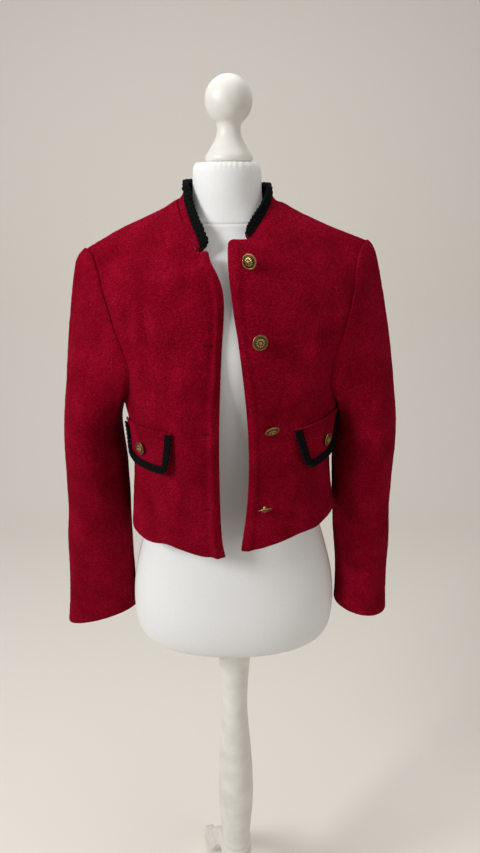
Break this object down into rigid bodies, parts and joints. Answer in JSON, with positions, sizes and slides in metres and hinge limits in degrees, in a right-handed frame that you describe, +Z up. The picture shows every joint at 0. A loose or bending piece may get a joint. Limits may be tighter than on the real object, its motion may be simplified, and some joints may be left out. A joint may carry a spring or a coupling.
{
  "type": "blazer on a dress form",
  "caption": "Cropped wool boucle blazer with stand collar, black braid edges and domed metal buttons, worn open on a limbless dress form with a turned tripod stand.",
  "frame": {"origin": "on the floor, under the middle of the whole outline", "axes": "+Z up; the jacket faces -Y, so the wearer's left is +X"},
  "size_m": [0.5184, 0.3854, 1.5892],
  "materials": {
    "wool": "matte boucle wool",
    "braid": "matte crochet braid",
    "buttons": "antique, cast relief",
    "jersey": "fine cotton jersey",
    "paint": "satin paint on turned wood"
  },
  "bodies": {
    "root": {"back": "wool", "front_right": "wool", "front_left": "wool", "sleeve_right": "wool", "sleeve_left": "wool", "flap_right": "wool", "flap_left": "wool", "collar": "wool", "collar_trim": "braid", "flap_trim_right": "braid", "flap_trim_left": "braid", "button_1": "buttons", "button_2": "buttons", "button_3": "buttons", "button_4": "buttons", "flap_button_right": "buttons", "flap_button_left": "buttons", "form_torso": "jersey", "form_cap": "paint", "form_pole": "paint", "form_hub": "paint", "leg_1": "paint", "leg_2": "paint", "leg_3": "paint"}
  },
  "joints": []
}
